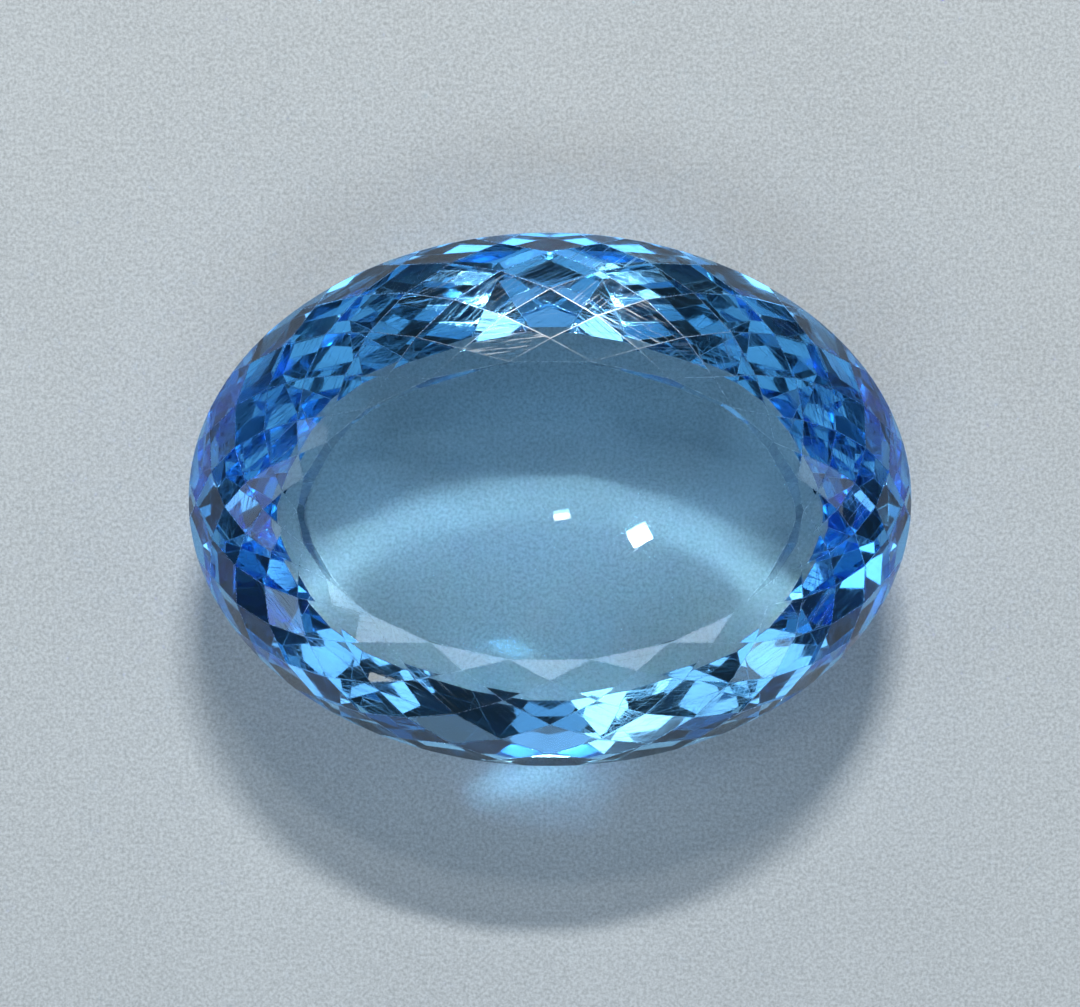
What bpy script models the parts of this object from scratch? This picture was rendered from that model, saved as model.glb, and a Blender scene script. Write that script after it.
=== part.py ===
"""A large oval topaz, cut and polished, resting on its flat base.

The stone is made the way a cutter makes it. It starts as an oval prism, the preform, and each
facet is then ground away with one flat cut. The facets stand in rows round the stone, and each
row is half a step round from the one below it. Every cut goes in until it reaches the point
where three facets of the rows below meet, so the facets are four-sided lozenges that touch at
their corners, with kites and small triangles beside the flat table.

Units are metres, Z is up, X is the long axis of the oval. The origin is the middle of the flat
base, which lies on the surface that the stone rests on.
"""

import math

import bmesh
import bpy
import numpy as np

# The oval and the heights of its three parts, from the base up.
LENGTH = 0.0360
WIDTH = 0.0266
PAVILION_DEPTH = 0.0062
GIRDLE_HEIGHT = 0.0005
CROWN_HEIGHT = 0.0042

# The hand-cut flats sit a little towards -Y of the oval's middle, so each side leans that way.
TABLE_OFFSET = 0.0003
BASE_OFFSET = 0.0008

# Facets in one row above and below the girdle, and the sides of the round girdle.
CROWN_FACETS = 22
PAVILION_FACETS = 16
GIRDLE_SIDES = 176

# Cutting angles in degrees from level, each row in turn from the girdle towards the flat.
CROWN_ANGLES = (66.5, 59.0, 45.0, 35.0, 28.0, 23.0, 19.0)
PAVILION_ANGLES = (72.0, 58.0, 48.0, 38.5)

# The long sides of the oval are cut this many degrees steeper than its two ends.
SIDE_GAIN = 1.6

# How far the last triangles eat into each side of the flat: a half leaves only their own edges.
TABLE_CORNER_SHARE = 0.5
BASE_CORNER_SHARE = 0.25

# A corner this near to a cut counts as lying on it.
CUT_TOLERANCE = 0.0000002

# Sky blue topaz: clear, polished, with the refractive index of topaz.
STONE_COLOUR = (0.30, 0.62, 0.90, 1.0)
STONE_ROUGHNESS = 0.02
STONE_INDEX = 1.62


def clear_objects():
    """Take every object out of the scene."""
    for item in list(bpy.data.objects):
        bpy.data.objects.remove(item, do_unlink=True)


def stone_material():
    """Clear blue topaz with a polished surface."""
    material = bpy.data.materials.new("sky_blue_topaz")
    material.use_nodes = True
    shader = material.node_tree.nodes["Principled BSDF"]
    shader.inputs["Base Color"].default_value = STONE_COLOUR
    shader.inputs["Metallic"].default_value = 0.0
    shader.inputs["Roughness"].default_value = STONE_ROUGHNESS
    shader.inputs["IOR"].default_value = STONE_INDEX
    shader.inputs["Transmission Weight"].default_value = 1.0
    return material


def step_angles(steps):
    """Oval angles of even steps round the stone, which crowd a little at its two ends.

    Each step is moved to the nearest corner of the girdle, so that no facet ends within a side.
    """
    corners = np.round(np.arange(steps) * GIRDLE_SIDES / steps)
    return corners * 2.0 * math.pi / GIRDLE_SIDES


def oval_point(angle, height=0.0):
    """Point of the girdle's oval at one oval angle."""
    return np.array((LENGTH / 2 * math.cos(angle), WIDTH / 2 * math.sin(angle), height))


def facet_plane(angle, slope, point):
    """Plane through a point that faces outwards from the oval and leans back by the slope.

    A plane is its outward normal and its distance from the origin along that normal.
    """
    outward = np.array((WIDTH / 2 * math.cos(angle), LENGTH / 2 * math.sin(angle), 0.0))
    outward /= np.linalg.norm(outward)
    normal = outward * math.sin(slope) + np.array((0.0, 0.0, math.cos(slope)))
    return normal, float(normal @ point)


def meeting_point(*planes):
    """The one point where three planes meet."""
    normals = np.array([normal for normal, distance in planes])
    distances = np.array([distance for normal, distance in planes])
    return np.linalg.solve(normals, distances)


def plane_through(first, second, third):
    """Plane through three points, turned so that its normal points up."""
    normal = np.cross(second - first, third - first)
    normal *= math.copysign(1.0, normal[2]) / np.linalg.norm(normal)
    return normal, float(normal @ first)


def facet_planes(facets, angles_in_degrees, height, corner_share):
    """All the cuts between the girdle and a flat, as if the flat were up and the girdle at zero.

    Even places are the whole steps, odd ones the half steps between them, and the last row of
    lozenges, the kites, is on the whole steps. The first two rows touch the girdle. Each later
    facet passes through the top corner of the facet two rows below it. The last triangles run
    from the ridges between the kites to the sides of the flat.
    """
    steps = 2 * facets
    positions = step_angles(steps)
    rows = []
    for number, end_angle in enumerate(angles_in_degrees):
        row = {}
        for place in range((len(angles_in_degrees) - 1 - number) % 2, steps, 2):
            slope = math.radians(end_angle + SIDE_GAIN * math.sin(positions[place]) ** 2)
            if number < 2:
                point = oval_point(positions[place])
            else:
                left = rows[number - 1][(place - 1) % steps]
                right = rows[number - 1][(place + 1) % steps]
                point = meeting_point(rows[number - 2][place], left, right)
            row[place] = facet_plane(positions[place], slope, point)
        rows.append(row)

    flat = (np.array((0.0, 0.0, 1.0)), height)
    kites = rows[-1]
    outer = rows[-2]
    corners = {}
    for place in outer:
        corners[place] = meeting_point(kites[(place - 1) % steps], kites[(place + 1) % steps], flat)
    triangles = {}
    for place, corner in corners.items():
        left = kites[(place - 1) % steps]
        right = kites[(place + 1) % steps]
        tip = meeting_point(outer[place], left, right)
        before = corners[(place - 2) % steps]
        after = corners[(place + 2) % steps]
        one = corner + corner_share * (before - corner)
        other = corner + corner_share * (after - corner)
        triangles[place] = plane_through(tip, one, other)
    rows.append(triangles)
    return [plane for row in rows for plane in row.values()]


def preform(bottom, top):
    """The oval prism before any facet is cut, with its round side shaded smooth."""
    solid = bmesh.new()
    lower = []
    upper = []
    for angle in step_angles(GIRDLE_SIDES):
        lower.append(solid.verts.new(oval_point(angle, bottom)))
        upper.append(solid.verts.new(oval_point(angle, top)))
    for number in range(GIRDLE_SIDES):
        following = (number + 1) % GIRDLE_SIDES
        side = solid.faces.new((lower[number], lower[following], upper[following], upper[number]))
        side.smooth = True
    solid.faces.new(upper)
    solid.faces.new(tuple(reversed(lower)))
    return solid


def grind(solid, normal, distance):
    """Cut away all that lies beyond a plane and close the cut with one flat facet."""
    everything = solid.verts[:] + solid.edges[:] + solid.faces[:]
    cut = bmesh.ops.bisect_plane(
        solid,
        geom=everything,
        dist=CUT_TOLERANCE,
        plane_co=normal * distance,
        plane_no=normal,
        clear_outer=True,
    )
    rim = [item for item in cut["geom_cut"] if isinstance(item, bmesh.types.BMEdge)]
    rim = [edge for edge in rim if edge.is_boundary]
    if rim:
        bmesh.ops.edgeloop_fill(solid, edges=rim)


def lean(solid, from_height, to_height, offset):
    """Slide every corner beyond a level towards -Y, by the offset at the far level.

    The slide grows evenly with height, so flat facets stay flat and meeting points stay met.
    """
    for corner in solid.verts:
        share = (corner.co.z - from_height) / (to_height - from_height)
        if share > 0.0:
            corner.co.y -= offset * share


def cut_stone():
    """The finished stone as a mesh."""
    girdle_bottom = PAVILION_DEPTH
    girdle_top = PAVILION_DEPTH + GIRDLE_HEIGHT
    solid = preform(0.0, girdle_top + CROWN_HEIGHT)
    crown = facet_planes(CROWN_FACETS, CROWN_ANGLES, CROWN_HEIGHT, TABLE_CORNER_SHARE)
    for normal, distance in crown:
        grind(solid, normal, distance + normal[2] * girdle_top)
    pavilion = facet_planes(PAVILION_FACETS, PAVILION_ANGLES, PAVILION_DEPTH, BASE_CORNER_SHARE)
    for normal, distance in pavilion:
        down = normal * np.array((1.0, 1.0, -1.0))
        grind(solid, down, distance - normal[2] * girdle_bottom)
    lean(solid, girdle_top, girdle_top + CROWN_HEIGHT, TABLE_OFFSET)
    lean(solid, girdle_bottom, 0.0, BASE_OFFSET)
    solid.normal_update()
    mesh = bpy.data.meshes.new("cut_topaz")
    solid.to_mesh(mesh)
    solid.free()
    return mesh


def main():
    """Build the one piece that the object is."""
    clear_objects()
    mesh = cut_stone()
    mesh.materials.append(stone_material())
    stone = bpy.data.objects.new("cut_topaz", mesh)
    bpy.context.scene.collection.objects.link(stone)


main()
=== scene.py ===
"""A large oval topaz, cut and polished, lying on its flat base on a pale grained surface.

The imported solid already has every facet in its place. This script takes a copy of it and gives
each facet edge the hair's breadth of wear that a real edge has, each facet the faint lines that
the polishing lap left on it, and the girdle its ground finish. Then it sets the stone in clear
sky blue topaz and lights it the way a stone is shown on a bench: one small bright lamp behind
it, soft boxes and pale cards round it, and a dim room beyond them, so that some facets flash and
others stay deep blue. The lamp's light goes through the table and is gathered on the surface
under the stone, where it shows as a pale arch.

Units are metres, Z is up, X is the long axis of the oval, and +Y is the far side of the stone as
the camera sees it.
"""

import math

import bmesh
import bpy
import numpy as np
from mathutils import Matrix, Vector


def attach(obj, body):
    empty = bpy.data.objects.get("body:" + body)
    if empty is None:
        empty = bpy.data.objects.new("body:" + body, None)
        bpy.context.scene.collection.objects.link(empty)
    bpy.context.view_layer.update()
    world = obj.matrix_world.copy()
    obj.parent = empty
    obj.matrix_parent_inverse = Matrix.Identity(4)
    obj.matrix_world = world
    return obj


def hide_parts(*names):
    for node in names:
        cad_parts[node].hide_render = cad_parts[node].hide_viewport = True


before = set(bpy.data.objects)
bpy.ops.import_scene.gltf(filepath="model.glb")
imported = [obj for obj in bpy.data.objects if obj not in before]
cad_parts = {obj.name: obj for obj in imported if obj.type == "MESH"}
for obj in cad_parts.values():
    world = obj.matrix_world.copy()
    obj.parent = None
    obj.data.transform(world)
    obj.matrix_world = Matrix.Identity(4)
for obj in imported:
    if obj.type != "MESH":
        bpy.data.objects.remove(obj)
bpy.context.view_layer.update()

# Millimetres to metres.
MM = 0.001

# The width of the worn strip inside each facet edge, and its most as a share of a small facet.
EDGE_WEAR = 0.022 * MM
MOST_WORN_SHARE = 0.3

# Points nearer than this are one point, and triangles that turn by less than this are one facet.
MERGE_DISTANCE = 0.001 * MM
FLAT_TOLERANCE = math.radians(0.2)

# A face with an upright part of its normal below this is a side of the girdle.
UPRIGHT_SIDE = 0.05

# Roughness of the lap's lines, of the worn edges and of the ground girdle.
LAP_ROUGHNESS = 0.28
EDGE_ROUGHNESS = 0.25
GIRDLE_ROUGHNESS = 0.34

# How much of its light the stone absorbs per metre in red, green and blue.
TOPAZ_ABSORPTION = (44.0, 15.5, 1.5)
ABSORPTION_DENSITY = 60.0

# The lap lines of the flat table and base are this faint beside those of a well marked facet.
TABLE_LAP_MARKS = 0.12
SEED = 11

# The surface under the stone: half its side, and how far it lies below the base.
FLOOR_HALF = 1.5
FLOOR_GAP = 0.02 * MM

# The width of the photographed frame, and how many of its pixels one millimetre takes.
IMAGE_WIDTH = 1080
PIXELS_PER_MM = 20.05

# The camera is this far off and tipped this much. Its aim is a little left of and before the
# middle of the stone, given in pixels of the frame, at the height of the girdle.
CAMERA_DISTANCE = 0.2
CAMERA_TILT = math.radians(3.0)
AIM_PIXELS = (-10.0, -3.5)
GIRDLE_LEVEL = 6.45 * MM

# All lamps are this far from the stone and face this height above the surface.
LAMP_DISTANCE = 0.60
LAMP_AIM = 6.0 * MM

# Lamps: degrees round from +Y towards +X, degrees up, width, height, radiance and colour.
LAMPS = {
    # The bright lamp that makes the arch, and a weaker one that makes the lap lines glow.
    "back_lamp": (4, 40.0, 0.12, 0.023, 350.0, "fffcf6"),
    "back_sheen": (-2, 47.8, 0.06, 0.03, 80.0, "fffcf6"),
    # Broad soft light, most of it from the front.
    "high_back": (0, 75, 0.16, 0.11, 0.8, "bcdfff"),
    "front_window": (182, 54, 0.48, 0.15, 4.0, "e0f0ff"),
    # Narrow strips that flash in the far facets.
    "front_strip": (200, 32, 0.10, 0.05, 6.0, "f8fffa"),
    "high_left": (305, 70, 0.14, 0.14, 3.4, "f4faff"),
    "back_left_low": (343, 26, 0.14, 0.08, 6.0, "f4fffa"),
    # Pale cards that show in the near facets and at the two ends.
    "front_left_card": (228, 22, 0.26, 0.12, 4.0, "b4dafa"),
    "front_right_card": (143, 24, 0.20, 0.10, 3.6, "b4dafa"),
    "front_low_card": (180, 8, 0.50, 0.05, 3.0, "9ccffa"),
    "left_card": (270, 35, 0.25, 0.16, 1.7, "dceeff"),
    "upper_left_card": (294, 50, 0.15, 0.12, 1.6, "dceeff"),
    "right_card": (90, 36, 0.22, 0.14, 1.6, "cfe6ff"),
    "upper_right_card": (68, 51, 0.15, 0.06, 2.0, "cfe6ff"),
    # Two tiny lamps that the table mirrors as sparks.
    "pin_lamp": (152.9, 85.96, 0.0042, 0.0028, 60.0, "fffdf0"),
    "second_pin_lamp": (173.5, 86.76, 0.0032, 0.0012, 22.0, "fffdf0"),
}
ROOM_COLOUR = "d4ecff"
ROOM_STRENGTH = 0.03

# Single samples are held to the brightness of the brightest lamp.
SAMPLE_LIMIT = 350.0


def linear_colour(code):
    """Turn an sRGB hex code such as 8fb4d0 into the linear colour that shaders work in."""
    parts = [int(code[start : start + 2], 16) / 255.0 for start in (0, 2, 4)]
    curve = [
        part / 12.92 if part <= 0.04045 else ((part + 0.055) / 1.055) ** 2.4 for part in parts
    ]
    return (*curve, 1.0)


def add_node(tree, kind, values=None, links=None, **settings):
    """Add a node, set its properties and socket values, and link sockets of other nodes to it."""
    node = tree.nodes.new(kind)
    for name, setting in settings.items():
        setattr(node, name, setting)
    for name, value in (values or {}).items():
        node.inputs[name].default_value = value
    for name, source in (links or {}).items():
        tree.links.new(source, node.inputs[name])
    return node


def new_material(name):
    """An empty material, its node tree and its output node."""
    material = bpy.data.materials.new(name)
    material.use_nodes = True
    material.node_tree.nodes.clear()
    output = add_node(material.node_tree, "ShaderNodeOutputMaterial")
    return material, material.node_tree, output


def cut_topaz_polished():
    """Topaz, cut on a lap and polished with fine oxide powder: glass clear, with no haze.

    The facets mirror sharply and show only the faintest straight lines from the lap. The worn
    facet edges scatter a little light and draw as pale hairlines, and the girdle is left as it
    was ground, so that it glows softly where the facets sparkle. The blue is in the body of the
    stone: the longer the light's way inside it, the deeper the colour.
    """
    material, tree, output = new_material("sky_blue_topaz_polished")
    facet_place = add_node(tree, "ShaderNodeUVMap", uv_map="lap").outputs["UV"]
    worn = add_node(tree, "ShaderNodeAttribute", attribute_name="worn_edge").outputs["Fac"]
    ground = add_node(tree, "ShaderNodeAttribute", attribute_name="ground_girdle").outputs["Fac"]
    lapped = add_node(tree, "ShaderNodeAttribute", attribute_name="lap_marks").outputs["Fac"]

    # Lap lines: the grit leaves lines about 0.02 mm apart, drawn 0.09 mm apart so that they show.
    along = add_node(
        tree, "ShaderNodeMapping", {"Scale": (0.35, 11.0, 1.0)}, {"Vector": facet_place}
    )
    lines = add_node(
        tree,
        "ShaderNodeTexNoise",
        {"Scale": 1.0, "Detail": 3.0, "Roughness": 0.65},
        {"Vector": along.outputs["Vector"]},
        noise_dimensions="2D",
    )
    scratches = add_node(
        tree,
        "ShaderNodeMapRange",
        {"From Min": 0.54, "From Max": 0.66, "To Min": 0.0, "To Max": 1.0},
        {"Value": lines.outputs["Fac"]},
    )
    scratched = add_node(
        tree,
        "ShaderNodeMath",
        links={0: scratches.outputs["Result"], 1: lapped},
        operation="MULTIPLY",
    )
    lap_roughness = add_node(
        tree,
        "ShaderNodeMath",
        {1: LAP_ROUGHNESS},
        {0: scratched.outputs["Value"]},
        operation="MULTIPLY",
    )
    edge_roughness = add_node(
        tree,
        "ShaderNodeMath",
        {1: EDGE_ROUGHNESS},
        {0: worn, 2: lap_roughness.outputs["Value"]},
        operation="MULTIPLY_ADD",
    )
    roughness = add_node(
        tree,
        "ShaderNodeMath",
        {1: GIRDLE_ROUGHNESS},
        {0: ground, 2: edge_roughness.outputs["Value"]},
        operation="MULTIPLY_ADD",
    )

    glass = add_node(
        tree,
        "ShaderNodeBsdfPrincipled",
        {"Base Color": (1.0, 1.0, 1.0, 1.0), "IOR": 1.62, "Transmission Weight": 1.0},
        {"Roughness": roughness.outputs["Value"]},
    )
    # The absorption node takes away one minus its colour, times its density, per metre.
    kept = [1.0 - absorbed / ABSORPTION_DENSITY for absorbed in TOPAZ_ABSORPTION]
    body = add_node(
        tree,
        "ShaderNodeVolumeAbsorption",
        {"Color": (*kept, 1.0), "Density": ABSORPTION_DENSITY},
    )
    tree.links.new(glass.outputs["BSDF"], output.inputs["Surface"])
    tree.links.new(body.outputs["Volume"], output.inputs["Volume"])
    return material


def whole_facets(cad_stone):
    """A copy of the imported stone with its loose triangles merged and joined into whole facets."""
    solid = bmesh.new()
    solid.from_mesh(cad_stone.data)
    bmesh.ops.remove_doubles(solid, verts=solid.verts[:], dist=MERGE_DISTANCE)
    bmesh.ops.dissolve_limit(
        solid, angle_limit=FLAT_TOLERANCE, verts=solid.verts[:], edges=solid.edges[:]
    )
    bmesh.ops.recalc_face_normals(solid, faces=solid.faces[:])
    mesh = bpy.data.meshes.new("whole_facets")
    solid.to_mesh(mesh)
    solid.free()
    return mesh


def read_faces(mesh):
    """Arrays of a mesh: points, each corner's point, each corner's face, and face normals."""
    points = np.empty(len(mesh.vertices) * 3)
    mesh.vertices.foreach_get("co", points)
    corner_points = np.empty(len(mesh.loops), dtype=np.int64)
    mesh.loops.foreach_get("vertex_index", corner_points)
    sizes = np.empty(len(mesh.polygons), dtype=np.int64)
    mesh.polygons.foreach_get("loop_total", sizes)
    normals = np.empty(len(mesh.polygons) * 3)
    mesh.polygons.foreach_get("normal", normals)
    corner_faces = np.repeat(np.arange(len(sizes)), sizes)
    return points.reshape(-1, 3), corner_points, corner_faces, normals.reshape(-1, 3)


def mean_normals(points, corner_points, corner_normals):
    """The plain mean of the normals that meet at each point, which is short where they spread."""
    sums = np.zeros_like(points)
    np.add.at(sums, corner_points, corner_normals)
    counts = np.bincount(corner_points, minlength=len(points))
    return sums / np.maximum(counts, 1)[:, None]


def worn_copy(cad_stone):
    """The stone with a narrow worn strip along every facet edge.

    Inside each facet lies a second outline. Each of its corners is the facet's corner moved
    towards the facet's middle, by the edge wear over the middle's distance from the two sides
    that meet there. The round girdle has no edges along it, so its corners move straight up or
    down instead. The strips between the two outlines are the worn edges, and the shared corners
    sink by the edge wear times the tangent of half the angle that their facets spread.
    """
    mesh = whole_facets(cad_stone)
    points, corner_points, corner_faces, normals = read_faces(mesh)
    sizes = np.bincount(corner_faces)
    starts = np.cumsum(sizes) - sizes
    order = np.arange(len(corner_points))
    is_last = order + 1 == (starts + sizes)[corner_faces]
    following = np.where(is_last, starts[corner_faces], order + 1)
    before = np.empty_like(following)
    before[following] = order

    places = points[corner_points]
    middles = (np.add.reduceat(places, starts, axis=0) / sizes[:, None])[corner_faces]
    sides = places[following] - places
    side_lengths = np.linalg.norm(sides, axis=1)
    gaps = np.linalg.norm(np.cross(sides, middles - places), axis=1) / side_lengths
    share = np.minimum(EDGE_WEAR / (0.5 * (gaps + gaps[before])), MOST_WORN_SHARE)
    inner = places + share[:, None] * (middles - places)
    on_girdle = (np.abs(normals[:, 2]) < UPRIGHT_SIDE)[corner_faces]
    step = EDGE_WEAR * np.sign(middles[:, 2] - places[:, 2])
    inner[on_girdle] = places[on_girdle] + step[on_girdle, None] * np.array((0.0, 0.0, 1.0))

    means = mean_normals(points, corner_points, normals[corner_faces])
    lengths = np.linalg.norm(means, axis=1)
    half_spread = np.arccos(np.clip(lengths, 0.0, 1.0))
    sunk = points - means / lengths[:, None] * (EDGE_WEAR * np.tan(half_spread / 2))[:, None]

    upright = on_girdle & (np.abs(sides[:, 2]) > 0.9 * side_lengths)
    edge = order[~upright]
    strips = np.stack(
        (
            corner_points[edge],
            corner_points[following[edge]],
            len(points) + following[edge],
            len(points) + edge,
        ),
        axis=1,
    )
    facets = [
        list(range(len(points) + first, len(points) + first + size))
        for first, size in zip(starts, sizes)
    ]
    worn = np.concatenate((np.zeros(len(facets)), np.ones(len(strips)))).astype(np.float32)
    copy = bpy.data.meshes.new("polished_topaz")
    copy.from_pydata(np.concatenate((sunk, inner)).tolist(), [], facets + strips.tolist())
    copy.attributes.new("worn_edge", "FLOAT", "FACE").data.foreach_set("value", worn)

    solid = bmesh.new()
    solid.from_mesh(copy)
    bmesh.ops.remove_doubles(solid, verts=solid.verts[:], dist=MERGE_DISTANCE)
    for face in solid.faces:
        face.smooth = True
    solid.to_mesh(copy)
    solid.free()
    return copy


def round_the_edges(mesh):
    """Shade facets flat and worn edges round.

    Each point of a facet's inner outline takes the facet's own normal, and each point where
    facets meet takes the mean of theirs, so a strip turns evenly from one facet to the next.
    Points of the girdle take the mean of its two sides there, which keeps it round.
    """
    points, corner_points, corner_faces, normals = read_faces(mesh)
    worn = np.empty(len(mesh.polygons))
    mesh.attributes["worn_edge"].data.foreach_get("value", worn)
    clean = worn[corner_faces] < 0.5
    means = mean_normals(points, corner_points[clean], normals[corner_faces[clean]])
    shared = np.linalg.norm(means, axis=1) < 1e-6
    means[shared] = mean_normals(points, corner_points, normals[corner_faces])[shared]
    means /= np.linalg.norm(means, axis=1, keepdims=True)
    mesh.normals_split_custom_set_from_vertices(means)


def mark_finishes(mesh):
    """Write each facet's finish: the lap map, the lap marks and the ground girdle.

    The lap map lays each facet flat in millimetres. Its first axis is the level direction across
    the facet turned by a random angle, which is the way the lap ran there, and its place is
    shifted by a random amount so that no two facets share their lines.
    """
    points, corner_points, corner_faces, normals = read_faces(mesh)
    draw = np.random.default_rng(SEED)
    count = len(normals)
    level = np.cross(normals, (0.0, 0.0, 1.0))
    flat = np.linalg.norm(level, axis=1) < 1e-3
    level[flat] = (1.0, 0.0, 0.0)
    level /= np.linalg.norm(level, axis=1, keepdims=True)
    uphill = np.cross(normals, level)
    turn = draw.uniform(-0.9, 0.9, count)[:, None]
    along = level * np.cos(turn) + uphill * np.sin(turn)
    across = uphill * np.cos(turn) - level * np.sin(turn)
    shift = draw.uniform(0.0, 500.0, (count, 2))
    places = points[corner_points] / MM
    lap = np.stack(
        (
            np.einsum("ij,ij->i", places, along[corner_faces]),
            np.einsum("ij,ij->i", places, across[corner_faces]),
        ),
        axis=1,
    )
    layer = mesh.uv_layers.new(name="lap")
    layer.data.foreach_set("uv", (lap + shift[corner_faces]).astype(np.float32).ravel())

    marks = draw.uniform(0.25, 1.0, count) ** 2
    marks[flat] = TABLE_LAP_MARKS
    side = np.abs(normals[:, 2]) < UPRIGHT_SIDE
    for name, values in (("lap_marks", marks), ("ground_girdle", side.astype(float))):
        attribute = mesh.attributes.new(name, "FLOAT", "FACE")
        attribute.data.foreach_set("value", values.astype(np.float32))


def show(name, mesh, material):
    """Put a finished mesh in the scene with its material."""
    mesh.materials.clear()
    mesh.materials.append(material)
    piece = bpy.data.objects.new(name, mesh)
    bpy.context.scene.collection.objects.link(piece)
    return piece


def make_stone():
    """The polished stone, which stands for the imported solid."""
    mesh = worn_copy(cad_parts["cut_topaz"])
    mark_finishes(mesh)
    round_the_edges(mesh)
    stone = show("polished_topaz", mesh, cut_topaz_polished())
    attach(stone, "root")
    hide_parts("cut_topaz")


def grained_surface():
    """Pale grey card with a fine mineral grain, which keeps it from looking like a blank."""
    material, tree, output = new_material("pale_grained_card")
    place = add_node(tree, "ShaderNodeTexCoord").outputs["Object"]
    # Grains about 0.17 mm across, and broad patches of 12 mm where the card is a touch darker.
    grain = add_node(
        tree,
        "ShaderNodeTexNoise",
        {"Scale": 6000.0, "Detail": 2.0, "Roughness": 0.7},
        {"Vector": place},
    )
    patches = add_node(
        tree, "ShaderNodeTexNoise", {"Scale": 80.0, "Detail": 2.0}, {"Vector": place}
    )
    speckle = add_node(
        tree,
        "ShaderNodeMapRange",
        {"From Min": 0.3, "From Max": 0.7, "To Min": 0.0, "To Max": 1.0},
        {"Value": grain.outputs["Fac"]},
    )
    both = add_node(
        tree,
        "ShaderNodeMath",
        {1: 0.25},
        {0: patches.outputs["Fac"], 2: speckle.outputs["Result"]},
        operation="MULTIPLY_ADD",
    )
    colour = add_node(
        tree,
        "ShaderNodeMix",
        {"A": linear_colour("9da2a5"), "B": linear_colour("c8cdd0")},
        {"Factor": both.outputs["Value"]},
        data_type="RGBA",
    )
    card = add_node(
        tree,
        "ShaderNodeBsdfPrincipled",
        {"Roughness": 0.62},
        {"Base Color": colour.outputs["Result"]},
    )
    tree.links.new(card.outputs["BSDF"], output.inputs["Surface"])
    return material


def make_floor():
    """The plain pale surface that the stone lies on."""
    mesh = bpy.data.meshes.new("pale_card")
    signs = [(-1, -1), (1, -1), (1, 1), (-1, 1)]
    corners = [(FLOOR_HALF * across, FLOOR_HALF * away, -FLOOR_GAP) for across, away in signs]
    mesh.from_pydata(corners, [], [(0, 1, 2, 3)])
    floor = show("pale_card", mesh, grained_surface())


def soft_box(name, round_degrees, up_degrees, width, height, radiance, colour):
    """A rectangular lamp that faces the stone.

    Its radiance is how bright its face looks, and its power is that times its area times pi.
    """
    data = bpy.data.lights.new(name, "AREA")
    data.shape = "RECTANGLE"
    data.size = width
    data.size_y = height
    data.energy = radiance * width * height * math.pi
    data.color = linear_colour(colour)[:3]
    lamp = bpy.data.objects.new(name, data)
    bpy.context.scene.collection.objects.link(lamp)
    round_angle = math.radians(round_degrees)
    up_angle = math.radians(up_degrees)
    level = math.cos(up_angle)
    away = Vector(
        (math.sin(round_angle) * level, math.cos(round_angle) * level, math.sin(up_angle))
    )
    lamp.location = Vector((0.0, 0.0, LAMP_AIM)) + away * LAMP_DISTANCE
    lamp.rotation_euler = (-away).to_track_quat("-Z", "Y").to_euler()


def make_lights():
    """The lamps round the stone, and a dim room beyond them."""
    for name, values in LAMPS.items():
        soft_box(name, *values)
    world = bpy.data.worlds.new("dim_room")
    world.use_nodes = True
    bpy.context.scene.world = world
    room = world.node_tree.nodes["Background"]
    room.inputs["Color"].default_value = linear_colour(ROOM_COLOUR)
    room.inputs["Strength"].default_value = ROOM_STRENGTH


def make_camera():
    """A camera almost straight above, tipped a little, with a narrow view."""
    across, away = (pixels / PIXELS_PER_MM * MM for pixels in AIM_PIXELS)
    aim = Vector((across, away, GIRDLE_LEVEL))
    data = bpy.data.cameras.new("overhead")
    data.sensor_width = 36.0
    data.lens = data.sensor_width * CAMERA_DISTANCE / (IMAGE_WIDTH / PIXELS_PER_MM * MM)
    data.clip_start = 0.001
    camera = bpy.data.objects.new("overhead", data)
    bpy.context.scene.collection.objects.link(camera)
    tipped = Vector((0.0, math.sin(CAMERA_TILT), math.cos(CAMERA_TILT)))
    camera.location = aim + tipped * CAMERA_DISTANCE
    camera.rotation_euler = (-CAMERA_TILT, 0.0, 0.0)
    bpy.context.scene.camera = camera


def set_light_paths():
    """Let light bounce long enough inside the stone, and keep its focused light sharp."""
    scene = bpy.context.scene
    scene.cycles.max_bounces = 32
    scene.cycles.transmission_bounces = 32
    scene.cycles.glossy_bounces = 24
    scene.cycles.diffuse_bounces = 4
    scene.cycles.blur_glossy = 0.0
    scene.cycles.sample_clamp_indirect = SAMPLE_LIMIT
    scene.view_settings.view_transform = "Standard"


make_camera()
make_stone()
make_floor()
make_lights()
set_light_paths()
